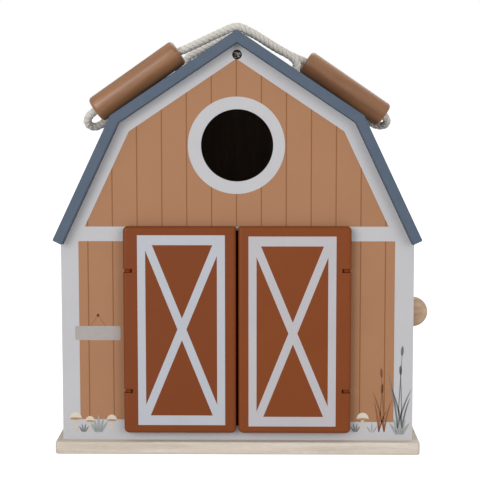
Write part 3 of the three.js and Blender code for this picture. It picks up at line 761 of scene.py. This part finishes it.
def easedBoard(nodeName, material, body, width=boardEdge["width"], ends=(),
               flatOver=boardEdge["flatOver"], easeWithin=None, doorSide=0):
    # copies a CAD board, joins its faces and eases its edges; width 0 keeps the edges that it has,
    # and easeWithin keeps those farther from the middle or higher than that
    bm = bmesh.new()
    bm.from_mesh(nodes[nodeName].data)
    bmesh.ops.remove_doubles(bm, verts=bm.verts, dist=boardEdge["merge"] * mm)
    bmesh.ops.dissolve_limit(bm, angle_limit=math.radians(boardEdge["level"]), verts=bm.verts, edges=bm.edges)
    closeSeam(bm)
    if doorSide:
        tightenCorner(bm, doorSide)
    sawn = set()
    for side, mitre, slope in ends:
        sawn.update(closeMitre(bm, side, mitre, slope))
    sharp = math.radians(boardEdge["sharp"])
    edges = [e for e in bm.edges if len(e.link_faces) == 2 and e.calc_face_angle() > sharp
             and not (e.verts[0] in sawn and e.verts[1] in sawn)]
    if easeWithin:
        edges = [e for e in edges if all(abs(v.co.x) < easeWithin[0] * mm and v.co.z < easeWithin[1] * mm
                                         for v in e.verts)]
    if width:
        bmesh.ops.bevel(bm, geom=edges, offset=width * mm, offset_type="OFFSET",
                        segments=boardEdge["segments"], profile=0.5, affect="EDGES", clamp_overlap=True,
                        material=-1)
    piece = finishMesh(f"{nodeName}_eased", bm, material, body, smoothAngle=35, flatOver=flatOver)
    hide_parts(nodeName)


upperSlope = (roofLine["upperNormal"][1], -roofLine["upperNormal"][0])
lowerSlope = (roofLine["lowerNormal"][1], -roofLine["lowerNormal"][0])
for half in ("front", "rear"):
    body = f"{half}_half"
    easedBoard(f"{half}_base_board", finishes["pine"], body, width=0, flatOver=700)
    easedBoard(f"{half}_gable_wall", finishes[f"{half}_gable"], body,
               easeWithin=boardEdge["gable"])
    easedBoard(f"{half}_loft_floor", finishes["pine"], body)
    easedBoard(f"{half}_ridge_beam", finishes["pineDepth"], body)
    for sideName, side in (("left", -1), ("right", 1)):
        easedBoard(f"{half}_{sideName}_side_wall", finishes["side"], body)
        upperEnds = [(side, "ridge", upperSlope), (side, "knee", upperSlope)]
        easedBoard(f"{half}_{sideName}_upper_roof", finishes["roof"], body,
                   width=boardEdge["roofWidth"], ends=upperEnds)
        easedBoard(f"{half}_{sideName}_lower_roof", finishes["roof"], body,
                   width=boardEdge["roofWidth"], ends=[(side, "knee", lowerSlope)])
for name, side in (("left", -1), ("right", 1)):
    easedBoard(f"{name}_door_panel", finishes[f"{name}_door"], f"{name}_door", width=0,
               flatOver=400, doorSide=side)
print("boards eased")


# ink on the front wall: a plain sign on a string, grass, bulrushes and toadstools
ink = {
    "thickness": 0.05,  # mm, and each colour lies a little over the one before
    "under": 83.45,  # the ink starts just inside the wall's face
    "colours": {"string": "7d5638", "sign": "aaa29e", "mist": "9a9f9d", "slate": "6f7475", "bark": "8b5b3d",
                "stalk": "c3bcb0", "cap": "d2cabb", "gill": "ab865e", "nail": "5a3218"},
    "sign": (-113.3, 98.3, 37, 11.6, 1.6),  # middle x and z, width, height, corner radius
    "nail": (-113, 112.9, 1.1),
    "string": (6, 0.16),  # how far it goes out from the nail, and half its width
    "tufts": [("mist", -113.5, 16.2, 15, 5), ("mist", 132, 14.8, 16, 5), ("slate", 96, 17, 8, 4),
              ("slate", -125.6, 16.4, 8, 4), ("mist", 109.6, 16.6, 8.5, 3)],  # colour, x, z, height, blades
    "bulrushes": [("slate", 130.4, 20, 64, 3), ("slate", 134.2, 20, 48, -2), ("bark", 119.6, 17, 49, -3),
                  ("bark", 115.2, 17, 36, 4)],  # colour, x, z, height, lean in degrees
    "head": (1.15, 4),  # half a bulrush's head
    "toadstools": [(-132.2, 17, 16), (-120.4, 17.6, 12), (-102.6, 17.4, 13.5), (102, 17, 16)],  # x, z, height
}


def blade(x, z, height, width, lean=0, bow=0):
    # a pointed leaf that grows from its foot, leans and bends over
    turn = math.radians(lean)
    run = Vector((math.sin(turn), math.cos(turn)))
    side = Vector((run.y, -run.x))
    steps = 8
    right, left = [], []
    for k in range(steps + 1):
        part = k / steps
        middle = Vector((x, z)) + run * (height * part) + side * (bow * height * part * part)
        half = side * (width / 2 * math.sin(math.pi * (0.15 + 0.85 * part)) ** 0.8)
        right.append(middle + half)
        left.append(middle - half)
    return right[:-1] + [middle] + left[-2::-1]


def oval(x, z, halfWidth, halfHeight, first=0, last=360, steps=20):
    points = steps if last - first == 360 else steps + 1
    turns = [math.radians(first + (last - first) * k / steps) for k in range(points)]
    return [Vector((x + halfWidth * math.cos(t), z + halfHeight * math.sin(t))) for t in turns]


def signOutlines():
    x, z, width, height, radius = ink["sign"]
    nailX, nailZ, nailRadius = ink["nail"]
    spread, halfString = ink["string"]
    corners = []
    for first, sx, sz in ((0, 1, 1), (90, -1, 1), (180, -1, -1), (270, 1, -1)):
        corners += oval(x + sx * (width / 2 - radius), z + sz * (height / 2 - radius), radius, radius,
                        first, first + 90, 5)
    top = Vector((nailX, nailZ))
    strings = []
    for side in (-1, 1):
        fall = Vector((side * spread, z + height / 2 - nailZ))
        across = Vector((-fall.y, fall.x)).normalized() * halfString
        strings.append([top - across, top + fall - across, top + fall + across, top + across])
    return {"sign": [corners], "nail": [oval(nailX, nailZ, nailRadius, nailRadius)], "string": strings}


def tuftOutlines(x, z, height, count):
    # blades that fan out, the outer ones shorter
    outlines = []
    for k in range(count):
        part = 2 * k / (count - 1) - 1
        outlines.append(blade(x + part * height * 0.16, z, height * (1 - 0.3 * abs(part)), height * 0.15,
                              lean=part * 20, bow=part * 0.18))
    return outlines


def bulrushOutlines(x, z, height, lean):
    # a stem with its head, and a leaf on each side
    turn = math.radians(lean)
    run = Vector((math.sin(turn), math.cos(turn)))
    top = Vector((x, z)) + run * height
    head = [top + Vector((p.x * run.y + p.y * run.x, p.y * run.y - p.x * run.x))
            for p in oval(0, 0, *ink["head"])]
    return [blade(x, z, height + 5, 0.75, lean=lean), head,
            blade(x, z, height * 0.72, 1.5, lean=lean - 7, bow=-0.1),
            blade(x, z, height * 0.55, 1.4, lean=lean + 8, bow=0.14)]


def toadstoolOutlines(x, z, height):
    neck, foot, capBase = height * 0.07, height * 0.1, z + height * 0.66
    stalk = [Vector((x - neck, z + height * 0.7)), Vector((x - foot, z)), Vector((x + foot, z)),
             Vector((x + neck, z + height * 0.7))]
    return {"stalk": [stalk], "cap": [oval(x, capBase, height * 0.31, height * 0.34, 0, 180)],
            "gill": [oval(x, capBase, height * 0.3, height * 0.06)]}


def motifs():
    # every outline by its colour, in the order in which the colours are laid
    shapes = {colour: [] for colour in ink["colours"]}
    groups = [signOutlines()]
    groups += [{colour: tuftOutlines(*values)} for colour, *values in ink["tufts"]]
    groups += [{colour: bulrushOutlines(*values)} for colour, *values in ink["bulrushes"]]
    groups += [toadstoolOutlines(*values) for values in ink["toadstools"]]
    for group in groups:
        for colour, outlines in group.items():
            shapes[colour] += outlines
    return shapes


def inkMaterial(name, colour):
    # screen ink on lacquer: matt, one even colour, thin enough to take the board's mottle
    material, tree, shader = newMaterial(name)
    shade = remap(tree, cloud(tree, objectPlace(tree), 2.5, 3), 0.9, 1.08)
    feed(tree, shader, {"Base Color": scaled(tree, hexColour(colour)[:3], shade), "Roughness": 0.6,
                        "Specular IOR Level": 0.2})
    return material


def printInk():
    for layer, (colour, outlines) in enumerate(motifs().items()):
        face = -board["gableFace"] - ink["thickness"] * (0.6 + 0.4 * layer)
        bm = bmesh.new()
        for outline in outlines:
            flat = bm.faces.new([bm.verts.new(inMetres(p.x, face, p.y)) for p in outline])
            thicken(bm, flat, inMetres(0, -ink["under"] - face, 0))
        bmesh.ops.recalc_face_normals(bm, faces=bm.faces)
        material = inkMaterial(f"screen_ink_{colour}", ink["colours"][colour])
        piece = finishMesh(f"ink_{colour}", bm, material, "front_half", flatOver=0)


printInk()
print("ink printed")


def dressNode(nodeName, material):
    mesh = nodes[nodeName].data
    mesh.materials.clear()
    mesh.materials.append(material)


for half in ("front", "rear"):
    dressNode(f"{half}_gable_screw", finishes["oxide"])
    for level in ("lower", "upper"):
        dressNode(f"{half}_{level}_hinge_leaf", finishes["zinc"])
        dressNode(f"{half}_{level}_magnet", finishes["zinc"])
for level in ("lower", "upper"):
    dressNode(f"{level}_hinge_pin", finishes["zinc"])
    for side in ("left", "right"):
        dressNode(f"{side}_door_{level}_pin", finishes["bronze"])
dressNode("wall_knob_screw", finishes["zinc"])
print("carried nodes dressed")


eye = {
    "radius": 2.6,  # mm, of the plain ring
    "thick": 1.8,
    "full": 3.15,  # of the seen one
    "fullThick": 2.5,
    "slack": 0.03,
    "rim": 0.15,  # farther in than this is the pin's hole, which stays
}


def fullEye(side, level):
    # enlarges the ring that a door's pin turns in, to nearly fill the door's slot
    nodeName = f"{side}_door_{level}_eye"
    joint = jointOf(f"{side}_door")
    low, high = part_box(nodeName)
    pin = Vector((joint["pos_m"][0], joint["pos_m"][1], (low.z + high.z) / 2))
    bm = bmesh.new()
    bm.from_mesh(nodes[nodeName].data)
    bmesh.ops.remove_doubles(bm, verts=bm.verts, dist=boardEdge["merge"] * mm)
    for vert in bm.verts:
        out = vert.co - pin
        reach = math.hypot(out.x, out.y)
        if reach < (eye["radius"] + eye["slack"]) * mm:
            out.z *= eye["fullThick"] / eye["thick"]
            if reach > (eye["radius"] - eye["rim"]) * mm:
                out.xy *= eye["full"] / eye["radius"]
            vert.co = pin + out
    bmesh.ops.recalc_face_normals(bm, faces=bm.faces)
    piece = finishMesh(f"{nodeName}_ring", bm, finishes["bronze"], "front_half", smoothAngle=40)
    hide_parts(nodeName)


for side in ("left", "right"):
    for level in ("lower", "upper"):
        fullEye(side, level)
print("door eyes made")


leafScrew = {
    "radius": 1.8,  # mm
    "slot": 0.5,
    "face": 0.15,  # of the leaf, from the seam
    "proud": 0.1,
    "depth": 0.5,
    "inset": 3.4,  # from the leaf's edge
    "spread": 13,  # up and down from the leaf's middle
    "turns": (25, 110),  # degrees, of the two slots
    "segments": 32,
}


def halfHead(bm, part):
    # the half of a screw's head on one side of its slot, standing on z 0; gives back its corners
    disc = bmesh.ops.create_circle(bm, cap_ends=True, radius=leafScrew["radius"] * mm,
                                   segments=leafScrew["segments"])["verts"]
    geom = disc + [e for e in bm.edges if e.verts[0] in disc] + [f for f in bm.faces if f.verts[0] in disc]
    bmesh.ops.bisect_plane(bm, geom=geom, plane_co=inMetres(part * leafScrew["slot"] / 2, 0, 0),
                           plane_no=(part, 0, 0), clear_inner=True)
    flat = next(f for f in bm.faces if not any(len(e.link_faces) > 1 for e in f.edges))
    foot = flat.verts[:]
    return foot + thicken(bm, flat, inMetres(0, 0, leafScrew["proud"] + leafScrew["depth"]))


def leafScrews(half, level):
    # two flat slotted heads that hold a hinge leaf to the edge of the wall
    low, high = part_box(f"{half}_{level}_hinge_leaf")
    outward = {"front": 1, "rear": -1}[half]
    aim = facing(Vector((0, outward, 0)))
    middle = Vector((high.x, 0, (low.z + high.z) / 2))
    bm = bmesh.new()
    for side, turn in zip((-1, 1), leafScrew["turns"]):
        verts = halfHead(bm, -1) + halfHead(bm, 1)
        place = middle + inMetres(-leafScrew["inset"], -outward * (leafScrew["face"] + leafScrew["depth"]),
                                  side * leafScrew["spread"])
        spin = Matrix.Rotation(math.radians(turn), 4, "Z")
        bmesh.ops.transform(bm, matrix=Matrix.Translation(place) @ aim @ spin, verts=verts)
    bmesh.ops.recalc_face_normals(bm, faces=bm.faces)
    piece = finishMesh(f"{half}_{level}_leaf_screws", bm, finishes["zinc"], f"{half}_half", flatOver=0)


for half in ("front", "rear"):
    for level in ("lower", "upper"):
        leafScrews(half, level)
print("hinges screwed on")


def turned(profile, axis, segments):
    # spins a section about an axis through the origin
    bm = bmesh.new()
    verts = [bm.verts.new(point) for point in profile]
    edges = [bm.edges.new(pair) for pair in zip(verts, verts[1:] + verts[:1])]
    bmesh.ops.spin(bm, geom=verts + edges, cent=(0, 0, 0), axis=axis, angle=2 * math.pi, steps=segments,
                   use_merge=True)
    bmesh.ops.remove_doubles(bm, verts=bm.verts, dist=0.001 * mm)
    bmesh.ops.recalc_face_normals(bm, faces=bm.faces)
    return bm


# grips: turned dowels with eased ends
grip = {
    "radius": 11,  # mm
    "length": 83.2,
    "bore": 3.9,
    "boreEdge": 0.8,
    "edge": 3.2,
    "edgeSteps": 6,
    "segments": 72,
    "dark": "865939",
    "light": "a47550",
    "fleck": "70482f",
    "fleckWidth": 1.1,  # mm
}


def gripMaterial(name, centre, tilt):
    # stained beech, turned and rubbed with oil: warm brown, short fibres along the dowel, soft gloss
    material, tree, shader = newMaterial(name)
    local = addNode(tree, "ShaderNodeMapping", {"Vector": objectPlace(tree), "Location": centre,
                                                "Rotation": (0, tilt, 0)}, vector_type="TEXTURE")
    colour, fibres = woodColours(tree, local, "Z", grip["dark"], grip["light"], contrast=0.8)
    flecks = addNode(tree, "ShaderNodeMapping", {"Vector": local, "Scale": (1, 1, 0.12)})
    flecks = addNode(tree, "ShaderNodeTexVoronoi", {"Vector": flecks, "Scale": 1 / (grip["fleckWidth"] * mm)})
    colour = mixColour(tree, remap(tree, flecks, 0.35, 0, 0.05, 0.16), colour, hexColour(grip["fleck"]))
    feed(tree, shader, {"Base Color": colour, "Normal": relief(tree, fibres, 0.2, 0.06), "Roughness": 0.4,
                        "Specular IOR Level": 0.5, "Coat Weight": 0.35, "Coat Roughness": 0.27})
    return material


def turnedGrip(name, centre, axis, material, body):
    half = grip["length"] / 2
    profile = [(grip["bore"], half - grip["boreEdge"]), (grip["bore"] + grip["boreEdge"], half)]
    for k in range(grip["edgeSteps"] + 1):
        angle = math.pi / 2 * k / grip["edgeSteps"]
        profile.append((grip["radius"] - grip["edge"] + grip["edge"] * math.sin(angle),
                        half - grip["edge"] + grip["edge"] * math.cos(angle)))
    profile += [(grip["radius"], half * k / 4) for k in (3, 2, 1, 0)]
    profile += [(r, -z) for r, z in reversed(profile[:-1])]
    bm = turned([(r * mm, 0, z * mm) for r, z in profile], (0, 0, 1), grip["segments"])
    turn = Vector((0, 0, 1)).rotation_difference(axis).to_matrix().to_4x4()
    bmesh.ops.transform(bm, matrix=Matrix.Translation(centre) @ turn, verts=bm.verts)
    return finishMesh(name, bm, material, body, smoothAngle=50)


for name in ("front", "rear"):
    joint = jointOf(f"{name}_grip")
    axis = Vector(joint["axis"])
    centre = Vector(joint["pos_m"])
    material = gripMaterial(f"stained_beech_{name}", centre, math.atan2(axis.x, axis.z))
    piece = turnedGrip(f"{name}_grip_dowel", centre, axis, material, f"{name}_grip")
    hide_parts(f"{name}_handle_grip")
print("grips turned")


# the ball knob
knob = {
    "radius": 12.7,  # mm
    "outer": 18.5,  # its reach from the wall
    "bore": (2.0, 11.3),  # radius and depth
    "foot": (0.4, 0.3),  # how far its edge is eased, along the wall and outwards
    "rings": 33,
    "segments": 64,
}


def turnedKnob():
    low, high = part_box("wall_knob")
    middle = (low + high) / 2
    centre = knob["outer"] - knob["radius"]
    start = math.acos(-centre / knob["radius"])
    foot = knob["radius"] * math.sin(start)
    boreRadius, boreDepth = knob["bore"]
    profile = [(boreRadius, 0), (foot - knob["foot"][0], 0), (foot, knob["foot"][1])]
    for k in range(1, knob["rings"]):
        angle = start * (1 - k / knob["rings"])
        profile.append((knob["radius"] * math.sin(angle), centre + knob["radius"] * math.cos(angle)))
    profile += [(0, knob["outer"]), (0, boreDepth), (boreRadius, boreDepth)]
    bm = turned([(z * mm, r * mm, 0) for r, z in profile], (1, 0, 0), knob["segments"])
    bmesh.ops.translate(bm, vec=(low.x, middle.y, middle.z), verts=bm.verts)
    material = woodMaterial("clear_lacquered_beech", "X", "ac9074", "dab99a", 0.5, coat=0.1)
    piece = finishMesh("ball_knob", bm, material, "front_half", smoothAngle=50)
    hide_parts("wall_knob")


turnedKnob()
print("knob turned")


# the floor: white paper that glows a little to the camera, as in an overexposed studio
paper = {"size": 12, "colour": "bcbcbc", "seen": 0.85, "bounce": 0.14}  # size is half the side, in m


def makeFloor():
    bm = bmesh.new()
    bmesh.ops.create_grid(bm, x_segments=1, y_segments=1, size=paper["size"])
    mesh = bpy.data.meshes.new("floor")
    bm.to_mesh(mesh)
    bm.free()
    material, tree, shader = newMaterial("lit_white_paper")
    feed(tree, shader, {"Base Color": hexColour(paper["colour"]), "Roughness": 0.9, "Specular IOR Level": 0.1,
                        "Emission Color": (1, 1, 1, 1),
                        "Emission Strength": remap(tree, cameraSees(tree), paper["bounce"], paper["seen"])})
    mesh.materials.append(material)
    addObject("floor", mesh)


light = {
    "sky": 0.55,  # all round
    "background": 1.0,
    "aimHeight": 0.18,  # m
    # watts, side in m, distance in m, degrees right of the front, degrees above level, seen in gloss
    "boxes": [
        ("soft_box_left", 48, 1.8, 3.4, -33, 15, True),
        ("soft_box_right", 29, 1.8, 3.4, 38, 15, False),
        ("soft_box_back", 24, 2.2, 3.4, 165, 45, True),
    ],
}


def makeLight():
    world = bpy.data.worlds.new("studio")
    bpy.context.scene.world = world
    world.use_nodes = True
    tree = world.node_tree
    tree.nodes.clear()
    strength = remap(tree, cameraSees(tree), light["sky"], light["background"])
    sky = addNode(tree, "ShaderNodeBackground", {"Color": (1, 1, 1, 1), "Strength": strength})
    addNode(tree, "ShaderNodeOutputWorld", {"Surface": sky})
    for name, watts, side, distance, turn, rise, glossy in light["boxes"]:
        lamp = bpy.data.lights.new(name, "AREA")
        lamp.energy = watts
        lamp.shape = "SQUARE"
        lamp.size = side
        box = addObject(name, lamp)
        box.visible_glossy = glossy
        turn, rise = math.radians(turn), math.radians(rise)
        towards = Vector((math.sin(turn) * math.cos(rise), -math.cos(turn) * math.cos(rise), math.sin(rise)))
        target = Vector((0, 0, light["aimHeight"]))
        box.matrix_world = Matrix.Translation(target + towards * distance) @ facing(towards)
    bpy.context.scene.view_settings.view_transform = "Standard"


makeFloor()
makeLight()
print("studio made")
